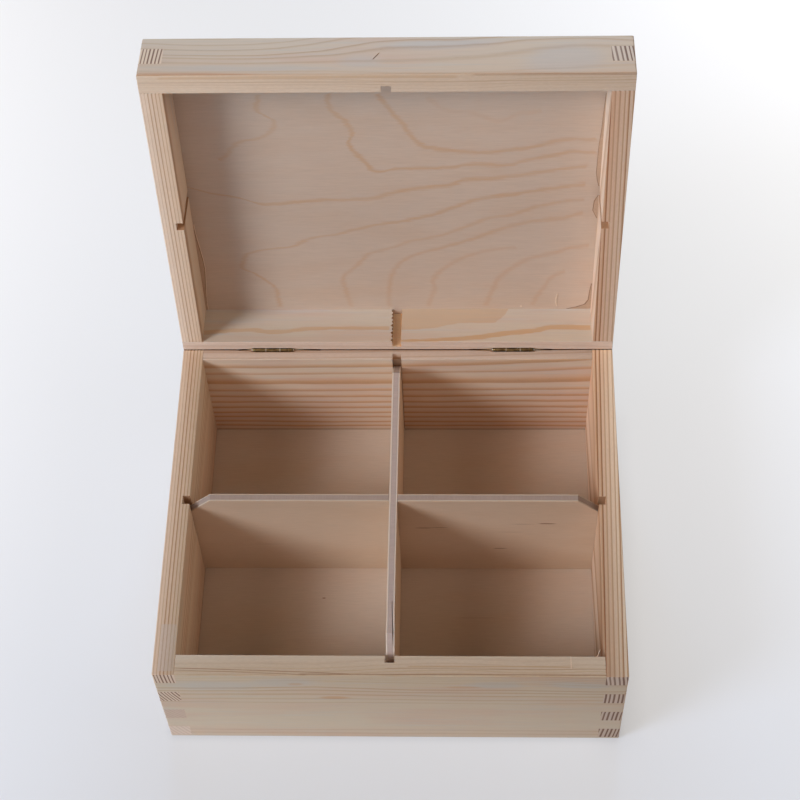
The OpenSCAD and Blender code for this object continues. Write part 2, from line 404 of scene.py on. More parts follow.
LOGS = {
    "front": Log(
        "x", (25,), (-41,), 3,
        rings=((37, 0, 0.3), (40, 0.5, 0.4), (43, 0.6, 0.4), (45.5, 0.5, 0.4), (48, 0.6, 0.4),
               (50.2, 0.4, 0.3), (53.9, 0.16, 0.12), (54.9, 0.7, 0.5), (56.3, 0.6, 0.6), (58.3, 0.8, 0.6),
               (60.1, 0.9, 0.6), (61.8, 0.9, 0.7), (67.0, 0.6, 0.3), (68.3, 0.5, 0.5), (69.5, 0.9, 0.4),
               (70.6, 0.6, 0.5), (71.8, 0.6, 0.5), (75.6, 0.6, 0.3), (80.9, 0.8, 0.4), (83.2, 0.8, 0.6),
               (85.0, 0.9, 0.7), (88.4, 0.8, 0.5)),
        spacing=3.0, late=(0.35, 0.7), strength=0.7, soft=0.75, line=0.5,
        hills=((70, 100, 45, 14, -5.5), (-5, 100, 18, 8, -2.0), (40, 79, 45, 14, 5.3),
               (-65, 93, 45, 14, 4.3), (-35, 58, 18, 8, -1.9), (100, 65, 18, 8, 4.0),
               (-5, 100, 30, 10, -4.4), (85, 100, 45, 14, -5.1)),
        patches=(("grey_wood", 0.7, -83, 60, 18, 4.5), ("grey_wood", 0.7, -50, 63.5, 13, 4.5),
                 ("grey_wood", 0.7, 48, 64, 12, 3.5), ("grey_wood", 0.8, 88, 65.5, 13, 3),
                 ("grey_wood", 0.6, -60, 81.3, 34, 1.6), ("grey_wood", 0.5, -12, 85, 8, 2.5),
                 ("grey_wood", 0.7, 25, 89.8, 22, 1.2), ("grey_wood", 0.6, 79, 81.8, 15, 4),
                 ("warm_wood", 0.7, -88, 76.4, 28, 1.6), ("warm_wood", 0.8, -26.5, 46.3, 6, 1.2),
                 ("warm_wood", 0.5, -44, 61, 3, 1.4), ("warm_wood", 0.5, 34, 61, 7, 1.2),
                 ("pink_wood", 0.3, 0, 5, 140, 6))),
    "back": Log(
        "x", (104.36, -1.68, -1.85, -1.26), (156.94, 2.21, 1.96, 0.92), 5,
        rings=((56, 0, 0.3), (59.5, 0.5, 0.5), (63, 0.6, 0.5), (66.5, 0.6, 0.5), (70, 0.5, 0.5),
               (73.5, 0.3, 0.4), (77.2, 1.0, 0.85), (80.4, 0.9, 0.55), (84.5, 0.9, 0.6), (87.7, 0.7, 0.55),
               (93.1, 1.0, 0.85), (97.3, 0.8, 0.6), (101.0, 1.0, 0.65), (104.7, 1.0, 0.6),
               (108.6, 1.0, 0.7), (112.3, 1.0, 0.6), (115.5, 1.0, 0.7), (119.2, 1.0, 0.6),
               (122.3, 1.0, 0.7)),
        spacing=3.6, late=(0.5, 0.7), strength=0.85, full=0.7, soft=0.88, line=0.32, tone="orange_wood"),
    "left": Log("y", (68,), (-56,), 7, spacing=1.62, uneven=0.3, late=(0.4, 0.7), bars=1.3,
                fade=(31, 43), squash=(20, 60, 0.5)),
    "right": Log("y", (50,), (-45, 2.2), 11, spacing=1.95, uneven=0.35, late=(0.45, 0.85), bars=1.25,
                 squash=(30, 70, 0.5)),
}


class TintAndLight(NamedTuple):
    """How a board's look differs from the wood's own colours, by factors of red, green and blue: partly its
    own colour, partly painted light and shade.

    face, rim, end: on its wide faces, its sawn rim and its ends, own colour and painted light and shade
    together.
    rings, rim_rings: how strong the rings are on its wide faces and on its rim.
    face_slope: painted light and shade, by which the wide faces grow lighter along the board, and upwards
    in red, green and blue, for
    each millimetre. rim_slope: the same painted light and shade for the rim, along the board and outwards.
    groove: how the sawn floors of its grooves differ from its faces: painted light in those deep floors,
    with some warmer sawn colour.
    outside: how its outer face differs, where that face has the wood's usual rings and not the inner
    face's own look.
    """

    face: tuple
    rim: tuple
    end: tuple = (1, 1, 1)
    rings: float = 1.0
    rim_rings: float = 1.0
    face_slope: tuple = (0, (0, 0, 0))
    rim_slope: tuple = (0, (0, 0, 0))
    groove: tuple = (1, 1, 1)
    outside: tuple = None


# Each board's factors: partly its own colour, partly painted light and shade
TINTS_AND_LIGHT = {
    "front_board": TintAndLight((0.76, 0.83, 0.82), (0.85, 0.91, 0.92), rim_rings=0.6,
                        face_slope=(-0.0009, (-0.0024, -0.0036, -0.005)),
                        rim_slope=(0, (-0.008, -0.015, -0.025)), groove=(1.9, 1.45, 1.25)),
    "back_board": TintAndLight((1.13, 1.165, 1.195), (0.80, 0.79, 0.84), rim_rings=0.3,
                       face_slope=(-0.0003, (0.0027, 0.004, 0.0042)),
                       rim_slope=(-0.0006, (-0.03, -0.045, -0.05))),
    "left_board": TintAndLight((1.08, 1.12, 1.13), (0.97, 0.955, 0.93), (0.98, 1.02, 1.02),
                       face_slope=(-0.0005, (0.002, 0.004, 0.0046)),
                       rim_slope=(0.0009, (0.028, 0.029, 0.036))),
    "right_board": TintAndLight((1.08, 0.95, 0.85), (1.06, 1.05, 1.02), (0.76, 0.81, 0.86), rings=0.8,
                        rim_rings=1.3,
                        face_slope=(0.0025, (0.0005, -0.002, -0.005)),
                        rim_slope=(0.0024, (0.026, 0.044, 0.056))),
    "lid_front_board": TintAndLight((0.87, 0.785, 0.70), (0.94, 0.97, 0.97), rings=0.9, rim_rings=0.35,
                            face_slope=(0.0003, (0.001, 0.0045, 0.0085)),
                            rim_slope=(-0.0009, (-0.004, -0.006, -0.01))),
    "lid_back_board": TintAndLight((0.80, 0.83, 0.80), (1.16, 1.19, 1.29), rings=0.0, rim_rings=0.15,
                           face_slope=(0.0008, (0.004, 0.007, 0.012)), groove=(1.5, 1.32, 1.05),
                           outside=(1.13, 1.17, 1.2)),
    "lid_left_board": TintAndLight((1.09, 1.14, 1.17), (1.14, 1.16, 1.17), (1.12, 1.12, 1.08), rim_rings=0.8,
                           rim_slope=(0.0008, (0.016, 0.022, 0.032))),
    "lid_right_board": TintAndLight((1.08, 1.05, 1.04), (0.98, 0.91, 0.87), (1.08, 1.14, 1.2), rings=0.5,
                            rim_rings=1.2,
                            face_slope=(0.0005, (0.006, 0.008, 0.01)),
                            rim_slope=(0.001, (0.006, 0.024, 0.036))),
}

# Broad late wood on the inside of the lid's back board: lower and upper edge as points (place along,
# height), and strength. Heights are those of the whole box.
BANDS = {
    "lid_back_board": (
        (((-99, 79.6), (-87, 80.7), (-75, 81.4), (-64, 79.9), (-52, 81.1), (-45, 82.2), (-25, 82.9),
          (-4, 82.5)),
         ((-99, 82.6), (-87, 83.6), (-75, 84.3), (-64, 83.0), (-52, 84.0), (-45, 85.0), (-25, 85.4),
          (-4, 85.2)),
         0.6),
        (((2, 82.3), (15, 83.3), (25, 85.4), (34, 87.2), (47, 87.2), (53, 90.4), (57, 96.5), (58, 99)),
         ((2, 98.5), (57, 99)), 0.5),
        (((2, 74.0), (25, 74.9), (40, 76.0), (55, 78.4), (70, 80.5), (84, 82.7), (99, 82.3)),
         ((2, 76.0), (19, 76.8), (40, 79.2), (55, 81.8), (70, 83.8), (84, 86.4), (99, 85.7)), 0.8),
    ),
}

# Single rings on the sawn rims: points (place along, place across), half width, strength and tone
RIM_LINES = {
    "front_board": (
        (((-99, -89.6), (-60, -90.7), (-20, -92.2)), 0.22, 0.6, "ring_line"),
        (((-99, -90.6), (-70, -91.6), (-40, -92.8)), 0.22, 0.5, "ring_line"),
        (((-40, -92.5), (20, -92.3), (99, -92.2)), 0.25, 0.6, "ring_line"),
        (((10, -88.3), (50, -88.1), (83, -88.2)), 0.4, 0.5, "late_wood"),
        (((0, -89.3), (50, -89.5), (99, -89.4)), 0.2, 0.4, "ring_line"),
    ),
    "lid_front_board": (
        (((-99, -91.7), (-30, -91.8), (30, -91.6)), 0.8, 0.35, "late_wood"),
        (((40, -93.0), (75, -92.9), (110, -92.95)), 0.18, 0.6, "ring_line"),
        (((40, -92.4), (75, -92.3), (110, -92.4)), 0.18, 0.6, "ring_line"),
        (((-110, -89.1), (0, -89.0), (110, -89.2)), 0.25, 0.25, "ring_line"),
        (((-110, -87.7), (0, -87.6), (110, -87.8)), 0.2, 0.15, "ring_line"),
    ),
}

# A greyish sawn patch on the left rim: its reach along the board, its reach across and its strength
RIM_PATCH = {"left_board": ((-91, -67.5), (-107.3, -100.4), 0.45)}


# How squarely a surface looks along an axis before it counts as facing it
FACING = (0.55, 0.8)
# Depths below a board's inner face, in mm: the sawn grooves, and where the outer face sets in
GROOVE_DEPTHS = (0.9, 8)
OUTER_FACE = (8.6, 9.4)
# Heights in mm: the painted shade at the foot of the inner walls, and where the ends turn less pale and
# dimmer
FOOT_SHADE = (4.0, 5.0)
PALE_ENDS = (13, 20)
DIM_ENDS = (54, 64)
# Height from which a wide face's tilt in colour counts, and distance from the outside for a rim's
TILT_HEIGHT = 50
TILT_DEPTH = 5.2
# Distance from the middle of a board at which its ends take over from the walls of its saw slots
SLOT_WALLS = (76, 80)
# Place along Y at which the bevels of the two back boards begin, and with them the painted shade of the
# seam
SEAM_SHADE_START = (88.3, 88.7)
# Soft waves in the rings, in mm: long ones and short ones
WAVES = (2.4, 0.8)
WOOD_GLOSS = 0.35


def pine(node, log, on_lid):
    """Unfinished pine: growth rings round the log's heart, fine fibres and end grain."""
    colours = bpy.context.scene.box_colours
    tint_and_light = TINTS_AND_LIGHT[node]
    r = Recipe("pine_" + node.removesuffix("_board"), on_lid)
    along, depth = (r.x, r.y) if log.runs == "x" else (r.y, r.x)
    half_box = (HALF_D if log.runs == "x" else HALF_W) / MM

    def stretched(length, width, seed, detail=2.0):
        per_mm = (1 / length, 1 / width) if log.runs == "x" else (1 / width, 1 / length)
        return r.noise((*per_mm, 1 / width), log.seed + seed, detail)

    def heart(factors):
        place = factors[-1]
        for factor in reversed(factors[:-1]):
            place = along * 0.01 * place + factor
        return place

    # Growth rings
    kept = r.z.at_least(log.squash[0]).at_most(log.squash[1])
    level = kept + (r.z - kept) * log.squash[2] + (stretched(70, 22, 1) - 0.5) * WAVES[0]
    level = level + (stretched(15, 5, 2) - 0.5) * WAVES[1]
    for where, up, reach, rise, lift in log.hills:
        level = level + r.hill(along, r.z, (where, up), (reach, rise)) * lift
    rise = level - heart(log.height)
    away = depth - heart(log.depth)
    radius = (rise * rise + away * away).root()
    if log.rings:
        rings = log.years()
        years = r.curve(radius, [(ring[0], number + 1) for number, ring in enumerate(rings)])
        year = years.whole()
        vigour = r.curve(year, [(number, ring[1]) for number, ring in enumerate(rings)])
        late_share = r.curve(year, [(number, ring[2]) for number, ring in enumerate(rings)])
    else:
        wander = r.lines(radius / (4 * log.spacing), log.seed) - 0.5
        years = radius / log.spacing + wander * (2 * log.uneven)
        year = years.whole()
        vigour = 0.4 + 0.6 * r.chance(year + log.seed + 40.5)
        late_share = log.late[0] + (log.late[1] - log.late[0]) * r.chance(year + log.seed)
    season = years - year
    outer_edge = 1 - season.ramp(log.soft, 1.0)
    grown = ((season - 1) / late_share + 1).at_least(0)
    late = grown.ramp(0, log.full) * outer_edge
    dark_line = grown.ramp(0.3, 0.9) * outer_edge

    # Fibres, streaks and patches
    fibre = stretched(16, 0.45, 3, 3.0)
    streak = stretched(60, 2.2, 4)
    patch = stretched(70, 11, 5)
    speck = stretched(1.6, 0.35, 6)

    def ringed(wood, rings):
        """Wood with its rings, as strong as rings says."""
        strength = log.strength * rings
        wood = r.blend(late * vigour * (0.8 * min(1, strength)), wood, getattr(colours, log.tone))
        return r.blend(dark_line * vigour * (log.line * strength), wood, colours.ring_line)

    # Wide faces
    bare = r.blend(patch.ramp(0.42, 0.72) * 0.5, colours.early_wood, colours.pink_wood)
    bare = r.blend(streak.ramp(0.5, 0.75) * 0.5, bare, colours.grey_wood)
    for kind, strength, where, up, reach, rise in log.patches:
        spread = r.hill(along, level, (where, up), (reach, rise))
        bare = r.blend(spread.ramp(0.25, 0.8) * strength, bare, getattr(colours, kind))
    face = ringed(bare, tint_and_light.rings)
    for low, high, strength in BANDS.get(node, ()):
        broken = r.z + (stretched(9, 0.9, 9) - 0.5) * 2.2
        above = (broken - r.curve(along, low, smooth=True)).ramp(-0.3, 0.5)
        below = 1 - (broken - r.curve(along, high, smooth=True)).ramp(-0.7, 0.5)
        there = along.between(low[0][0], low[-1][0] - 0.5, 1)
        share = above * below * there * (0.35 + 0.6 * fibre + 0.4 * streak)
        face = r.blend(share * strength, face, colours.orange_wood)
    face = r.blend(speck.ramp(0.62, 0.8) * late * (0.5 * tint_and_light.rings), face, colours.ring_line)
    # Painted light and shade on the wide faces: the board's factors and slopes
    face = r.times(face, tint_and_light.face)
    face = r.tilted(face, along * tint_and_light.face_slope[0] + 1, r.z - TILT_HEIGHT, tint_and_light.face_slope[1])
    within = depth.size() - half_box + WALL_T / MM
    # Painted light on the deep floors of the grooves, partly a warmer sawn colour
    face = r.blend(within.between(*GROOVE_DEPTHS, 0.4), face, r.times(face, tint_and_light.groove))
    if tint_and_light.outside is not None:
        plain = r.times(ringed(bare, 1), tint_and_light.outside)
        face = r.blend(within.ramp(*OUTER_FACE), face, plain)
    # Painted shade in the crease at the foot of the inner walls
    foot_shade = (1 - r.z.ramp(*FOOT_SHADE)) * (1 - within.ramp(0.2, 0.6))
    face = r.shade(face, 1 - 0.45 * foot_shade)

    # Sawn rims, and the bevels where the two back boards meet, painted dark as the shade in the seam
    sawn = stretched(2.2, 0.5, 8)
    rim = r.blend(late * vigour * (0.9 * tint_and_light.rim_rings), colours.early_wood, colours.late_wood)
    rim_line = 0.75 * log.strength * tint_and_light.rim_rings
    rim = r.blend(dark_line * vigour * rim_line * (0.6 + 0.8 * sawn), rim, colours.ring_line)
    for points, half, strength, kind in RIM_LINES.get(node, ()):
        off = (depth + (streak - 0.5) * 0.8 - r.curve(along, points, smooth=True)).size()
        there = along.between(points[0][0], points[-1][0], 3)
        drawn = (1 - off.ramp(half * 0.4, half * 1.4)) * there * (0.5 + sawn)
        rim = r.blend(drawn * strength, rim, getattr(colours, kind))
    if node in RIM_PATCH:
        length, width, strength = RIM_PATCH[node]
        there = along.between(*length, 0.4) * depth.between(*width, 0.4)
        rim = r.blend(there * strength * (0.5 + sawn), rim, colours.grey_wood)
    rim = r.shade(rim, 0.9 + 0.2 * sawn)
    # Painted light and shade on the rim: the board's factors and slopes along and across
    rim = r.times(rim, tint_and_light.rim)
    outwards = depth.size() - half_box + TILT_DEPTH
    rim = r.tilted(rim, along * tint_and_light.rim_slope[0] + 1, outwards, tint_and_light.rim_slope[1])
    face = r.blend(r.facing((0, 0, 1)).ramp(*FACING), face, rim)
    if log.runs == "x":
        leaning = r.facing((0, 0.7, 0.7)).at_least(r.facing((0, 0.7, -0.7)))
        seam_shade = leaning.ramp(0.9, 0.97) * r.y.ramp(*SEAM_SHADE_START)
        # Painted shade: the bevels as dark as the gap of the seam
        face = r.blend(seam_shade, face, r.shade(colours.ring_line, 0.8))

    # Ends
    bar = ((season - 1) / (0.25 + 0.5 * late_share) + 1).ramp(0.0, 0.4) * outer_edge
    ringless = r.z.ramp(*log.fade)
    shown = (ringless * 0.85 + 0.15) * (1 - 0.12 * r.z.ramp(*DIM_ENDS))
    bar = (bar * (0.6 + 0.4 * vigour) * shown * log.bars).at_most(1)
    end = r.blend(r.z.ramp(*PALE_ENDS), colours.end_pale, colours.end_warm)
    end = r.blend(ringless, end, colours.end_early)
    # Painted light and shade on the ends, by the board's factors
    end = r.times(r.blend(bar, end, colours.end_late), tint_and_light.end)
    cut = r.shade(colours.cut_wood, 0.8 + 0.4 * speck)
    end = r.blend(along.size().ramp(*SLOT_WALLS), cut, end)
    is_end = r.facing((1, 0, 0) if log.runs == "x" else (0, 1, 0)).ramp(*FACING)
    colour = r.shade(r.blend(is_end, face, end), 0.92 + 0.16 * fibre)

    relief = fibre * 0.5 + late * 0.5 + speck * 0.2
    return r.finish({"Base Color": colour, "Roughness": 0.62 + 0.14 * fibre,
                     "Specular IOR Level": WOOD_GLOSS,
                     "Normal": r.bump(relief, 0.25, 0.12 * MM)})


# The lid panel's figure. Each line: the middle round which it turns, its strength, and its points (x, y)
# on the panel's inside, in mm
FIGURE = (
    ((60, -80), 0.4, ((18, -60), (27, -52), (40, -50), (48, -46), (60, -50), (70, -52))),
    ((60, -80), 1.0, ((-5, -62), (0, -53), (5, -45), (9, -38), (13, -32), (20, -29), (30, -27), (45, -26),
                      (60, -28), (75, -32), (96, -34))),
    ((60, -80), 1.0, ((-28, -62), (-28, -55), (-25, -50), (-20, -44), (-18, -38), (-20, -32), (-18, -27),
                      (-13, -21), (-10, -16), (0, -15.5), (10, -16), (28, -16.5), (40, -18.5), (55, -18),
                      (65, -21), (80, -25), (96, -26))),
    ((-120, -60), 0.8, ((-60, -62), (-62, -54), (-57, -49), (-54, -44), (-57, -39), (-64, -35), (-73, -32),
                        (-82, -22))),
    ((60, 120), 1.0, ((-96, -3), (-88, 0), (-75, 3), (-65, 7), (-55, 7), (-40, 5), (-25, 4.5), (-10, 3.5),
                      (0, 0), (10, -2.5), (20, -4), (28, -5), (35, -8), (45, -9), (60, -11), (75, -14),
                      (92, -17))),
    ((90, 85), 0.9, ((-61, 80), (-62, 68), (-66, 62), (-72, 56), (-78, 50), (-76, 44), (-70, 40), (-60, 38),
                     (-50, 36), (-42, 31), (-30, 28.5), (-20, 25), (-10, 22), (5, 19), (15, 16), (25, 12),
                     (40, 5), (45, 3.5), (60, 1), (75, -2), (92, -5))),
    ((90, 85), 0.7, ((-24, 80), (-26, 68), (-27, 60), (-22, 53), (-18, 48), (-14, 43), (-8, 40), (0, 37),
                     (8, 33), (17, 31), (30, 26), (45, 18), (60, 14), (72, 9), (92, 5))),
    ((90, 85), 0.8, ((-4, 80), (-4, 68), (-3, 60), (0, 52), (5, 46), (12, 42), (25, 37), (40, 31), (50, 26),
                     (65, 20), (80, 18), (92, 14))),
    ((90, 85), 0.6, ((16, 80), (19, 68), (19, 60), (25, 52), (32, 46), (40, 42), (60, 38))),
    ((90, 85), 0.7, ((46, 80), (50, 66), (52, 60), (58, 53), (65, 47), (75, 43), (88, 38), (96, 37))),
    ((90, 85), 0.6, ((70, 80), (75, 67), (78, 60), (85, 55))),
)
# How far a line of the figure fades to each side, in mm
FIGURE_FADE = 2.55


def panel_figure(r):
    """The figure of the lid panel's rotary-cut veneer: wandering tan lines."""
    wander = (r.noise((0.12, 0.12, 0.12), 4) - 0.5) * 1.5 + (r.noise((0.15, 1.1, 1.1), 5) - 0.5) * 3
    total = 0
    for middle, strength, points in FIGURE:
        total = total + r.traced(middle, points, wander, FIGURE_FADE) * strength
    return total.at_most(1) * (0.35 + 0.9 * r.noise((0.03, 0.05, 0.05), 6))


def plywood(name, runs, edge_axis, middle, core_half, face_tone, seed,
            on_lid=False, figure=None, marks=(), edge_light=(1, 1, 1)):
    """Plywood: a face veneer with its figure, and a cross-laid core that shows on the edges.

    marks: mineral streaks: place along, place across, reach along, reach across, strength.
    """
    colours = bpy.context.scene.box_colours
    r = Recipe(name, on_lid)
    axes = {"x": r.x, "y": r.y, "z": r.z}
    off_middle = (axes[edge_axis] - middle).size()

    def stretched(length, width, shift, detail=2.0, way=runs):
        per_mm = [1 / width] * 3
        per_mm["xyz".index(way)] = 1 / length
        return r.noise(per_mm, seed + shift, detail)

    fibre = stretched(9, 0.55, 1, 3.0)
    patch = stretched(50, 14, 2)
    streak = stretched(6, 0.4, 7)
    face = r.blend(patch.ramp(0.4, 0.7) * 0.12, face_tone, colours.veneer_line)
    if figure is not None:
        face = r.blend(figure(r) * (0.2 + 0.8 * fibre), face, colours.veneer_line)
        # Painted light: the lid panel lighter towards its back edge and its right side
        face = r.shade(face, (0.96 + 0.14 * r.y.ramp(5, 78)) * (1 + r.x * 0.0007))
    across = r.y if edge_axis == "z" else r.z
    for where, up, reach, rise, strength in marks:
        spread = r.hill(axes[runs], across, (where, up), (reach, rise))
        face = r.blend((spread * (0.5 + streak)).ramp(0.35, 0.8) * strength, face, colours.mineral)
    is_face = r.facing([float(axis == edge_axis) for axis in "xyz"]).ramp(*FACING)
    # Painted light and shade on the edges and the core, by the edge factor
    face = r.blend(is_face, r.times(colours.veneer_edge, edge_light), face)
    core_fibre = stretched(9, 0.8, 3, 2.0, edge_axis)
    core = r.shade(r.times(colours.divider_core, edge_light), 0.88 + 0.24 * core_fibre)
    in_core = 1 - off_middle.ramp(core_half - 0.06, core_half + 0.06)
    glue_line = 1 - (off_middle - core_half).size().ramp(0.05, 0.16)
    colour = r.shade(r.blend(in_core, face, core), 1 - 0.35 * glue_line)
    colour = r.shade(colour, 0.90 + 0.20 * fibre)
    return r.finish({"Base Color": colour, "Roughness": 0.6 + 0.14 * fibre,
                     "Specular IOR Level": WOOD_GLOSS,
                     "Normal": r.bump(fibre, 0.2, 0.08 * MM)})


# Mineral streaks in the cross divider's front face and in the bottom: place along, place across,
# reach along, reach across, strength
DIVIDER_MARKS = (
    (14, 47.0, 3.5, 0.35, 0.7), (22, 47.4, 4, 0.3, 0.5), (52.5, 26, 3, 0.5, 0.5), (75, 51.6, 4, 0.45, 0.8),
    (64, 51.0, 5, 0.3, 0.3), (58, 43, 6, 0.3, 0.25), (-64, 30, 9, 0.4, 0.15),
)
FLOOR_MARKS = ((-37.4, -19.1, 0.8, 0.3, 0.8), (-60, -52, 6, 0.3, 0.2), (40, -30, 9, 0.35, 0.15))


# Radii in mm over which the painted glints at the ends of the knuckles give way to dull brass
GLINT_RADII = (1.0, 1.6)


def brass_metal(name, middle, width):
    """Brass that has gone dull, with painted glints at the ends of the three knuckles. Lengths are in mm.
    """
    colours = bpy.context.scene.box_colours
    r = Recipe(name)
    patina = r.noise((0.35, 0.9, 0.9), 2, 3.0)
    colour = r.blend(patina.ramp(0.35, 0.65), colours.brass_dull, colours.brass)
    # Painted glints: pale, less metallic brass at the knuckle ends
    knuckles = (r.x - middle) / (width / 3) + 2
    from_end = (knuckles - knuckles.whole() - 0.5).size()
    outer = (r.x - middle).size().ramp(width / 4, width / 3)
    glint = (1 - from_end.ramp(0.02, 0.07)) * (0.4 + 0.6 * outer)
    on_axis = r.spot(0, r.y - HINGE_AXIS.y / MM, r.z - HINGE_AXIS.z / MM)
    away = r.node("ShaderNodeVectorMath", {"operation": "LENGTH"}, {0: on_axis}, "Value")
    glint = glint * (1 - away.ramp(*GLINT_RADII))
    colour = r.blend(glint, colour, colours.brass_glint)
    return r.finish({"Base Color": colour, "Metallic": 0.85 - 0.6 * glint,
                     "Roughness": 0.3 + 0.25 * patina,
                     "Normal": r.bump(patina, 0.15, 0.05 * MM)})


def dried_glue(name, tone_of):
    """Thin dried wood glue, or a loose fibre."""
    r = Recipe(name, on_lid=True)
    lumps = r.noise((0.6, 0.6, 0.6), 9, 3.0)
    colour = r.shade(tone_of, 0.85 + 0.3 * lumps)
    return r.finish({"Base Color": colour, "Roughness": 0.35 + 0.2 * lumps,
                     "Normal": r.bump(lumps, 0.3, 0.1 * MM)})


def deselect():
    if bpy.context.mode != "OBJECT":
        bpy.ops.object.mode_set(mode="OBJECT")
    bpy.ops.object.select_all(action="DESELECT")


def only(piece):
    deselect()
    piece.select_set(True)
    bpy.context.view_layer.objects.active = piece


def in_edit(piece, kind="EDGE"):
    """Edit mode on one piece, with nothing selected."""
    only(piece)
    bpy.ops.object.mode_set(mode="EDIT")
    bpy.ops.mesh.select_mode(type=kind)
    bpy.ops.mesh.select_all(action="DESELECT")


def pick(piece, kind, test):
    """Selects a piece's points, edges or faces that pass a test. Edit mode is on afterwards."""
    in_edit(piece, kind)
    bpy.ops.object.mode_set(mode="OBJECT")
    mesh = piece.data
    for part in {"VERT": mesh.vertices, "EDGE": mesh.edges, "FACE": mesh.polygons}[kind]:
        part.select = bool(test(part))
    bpy.ops.object.mode_set(mode="EDIT")


def copy_of(node, name):
    """The mesh of a CAD node as a piece of its own, with its loose triangles joined to flat faces."""
    source = frame["nodes"][node]
    piece = bpy.data.objects.new(name, source.data.copy())
    piece.data.name = name
    piece.data.materials.clear()
    bpy.context.scene.collection.objects.link(piece)
    in_edit(piece)
    bpy.ops.mesh.select_all(action="SELECT")
    bpy.ops.mesh.remove_doubles(threshold=0.001 * MM)
    bpy.ops.mesh.dissolve_limited(angle_limit=math.radians(0.5))
    bpy.ops.object.mode_set(mode="OBJECT")
    return piece


def block(name, low, high):
    """A box between two corners, with its place in its mesh."""
    deselect()
    low, high = Vector(low), Vector(high)
    bpy.ops.mesh.primitive_cube_add(size=1, location=(low + high) / 2, scale=high - low)
    piece = bpy.context.active_object
    piece.name = name
    piece.data.name = name
    bpy.ops.object.transform_apply(location=True, rotation=True, scale=True)
    return piece


def open_up(piece):
    """Turns a piece that was made on the shut lid to the open lid's place."""
    only(piece)
    piece.matrix_world = SHUT.inverted()
    bpy.ops.object.transform_apply(location=True, rotation=True, scale=True)


# Length of the block that a strip is drawn out from, in mm
RIBBON_START = 0.05


def ribbon(name, stations, thick, low, on_lid=False):
    """A thin strip on a level face, drawn out along Y.

    stations: left edge, right edge and place along Y, in mm. low: height of its underside, in mm.
    """
    left, right, start = stations[0]
    piece = block(name, Vector((left, start - RIBBON_START, low)) * MM,
                  Vector((right, start, low + thick)) * MM)
    pick(piece, "FACE", lambda face: face.normal.y > 0.5)
    for (left, right, place), (old_left, old_right, old_place) in zip(stations[1:], stations):
        step = ((left + right - old_left - old_right) / 2 * MM, (place - old_place) * MM, 0)
        bpy.ops.mesh.extrude_region_move(TRANSFORM_OT_translate={"value": step})
        bpy.ops.transform.resize(value=((right - left) / (old_right - old_left), 1, 1),
                                 center_override=((left + right) / 2 * MM, place * MM, low * MM))
    bpy.ops.object.mode_set(mode="OBJECT")
    if on_lid:
        open_up(piece)
    return piece


# Two faces meet in an edge where they turn by more than this
EDGE_ANGLE = math.radians(12)


def sharp_edges(piece):
    """Edges where two faces meet at an angle, as (edge number, end, end)."""
    normals = {}
    for face in piece.data.polygons:
        for key in face.edge_keys:
            normals.setdefault(key, []).append(face.normal.copy())
    points = piece.data.vertices
    found = []
    for edge in piece.data.edges:
        sides = normals.get(edge.key, [])
        if len(sides) == 2 and sides[0].angle(sides[1], 0) > EDGE_ANGLE:
            found.append((edge.index, points[edge.vertices[0]].co, points[edge.vertices[1]].co))
    return found


def ease_edges(piece, width_at, segments=3):
    """Rounds sharp edges. width_at gives an edge's width from its two ends, in metres."""
    classes = {}
    for number, a, b in sharp_edges(piece):
        width = width_at(a.copy(), b.copy())
        if width > 0:
            classes.setdefault(width, set()).add(number)
    widest = max(classes)
    for width, numbers in classes.items():
        pick(piece, "EDGE", lambda edge: edge.index in numbers)
        bpy.ops.transform.edge_bevelweight(value=width / widest)
    only(piece)
    bevel = piece.modifiers.new("Ease", "BEVEL")
    bevel.width = widest
    bevel.segments = segments
    bevel.limit_method = "WEIGHT"
    bevel.use_clamp_overlap = False
    bevel.miter_outer = "MITER_SHARP"
    bpy.ops.object.modifier_apply(modifier=bevel.name)


def settle(piece, body, slot, material, *nodes, smooth=True):
    """Shading and material of a finished piece, which then hangs on its body and hides the CAD parts that
    it replaces.
    """
    only(piece)
    if smooth:
        bpy.ops.object.shade_smooth_by_angle(angle=math.radians(40))
        flat = piece.modifiers.new("Flat faces", "WEIGHTED_NORMAL")
        flat.keep_sharp = True
        bpy.ops.object.modifier_apply(modifier=flat.name)
    else:
        bpy.ops.object.shade_flat()
    piece.data.materials.clear()
    piece.data.materials.append(material)
    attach(piece, body)
    if nodes:
        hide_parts(*nodes)


# Rounding of the lowest and topmost edges of the box, as a share of its corners'
FOOT_SHARE = 0.8


def wall_ease(sizes, on_lid):
    """Gives the rounding of each edge of a wall board, by where the edge lies on the shut box."""
    def width_at(a, b):
        if on_lid:
            a, b = SHUT @ a, SHUT @ b

        def both(axis, place):
            return all(abs(abs(end[axis]) - place) < NEAR for end in (a, b))

        level = abs(a.z - b.z) < NEAR
        outer_x, outer_y = both(0, HALF_W), both(1, HALF_D)
        inner = both(0, HALF_W - WALL_T) or both(1, HALF_D - WALL_T)
        low = level and any(abs(a.z - height) < NEAR for height in (0, BODY_H + SEAM_GAP + LID_H))
        rim = level and any(abs(a.z - height) < NEAR for height in (BODY_H, BODY_H + SEAM_GAP))
        if rim and both(1, HINGE_AXIS.y):
            return sizes.seam_ease
        if outer_x and outer_y:
            return sizes.corner_ease
        if low and (outer_x or outer_y):
            return sizes.corner_ease * FOOT_SHARE
        if rim and (outer_x or outer_y):
            return sizes.rim_ease
        if rim and inner:
            return sizes.inner_ease
        if outer_x or outer_y or inner or rim or low:
            return sizes.joint_line
        return 0

    return width_at


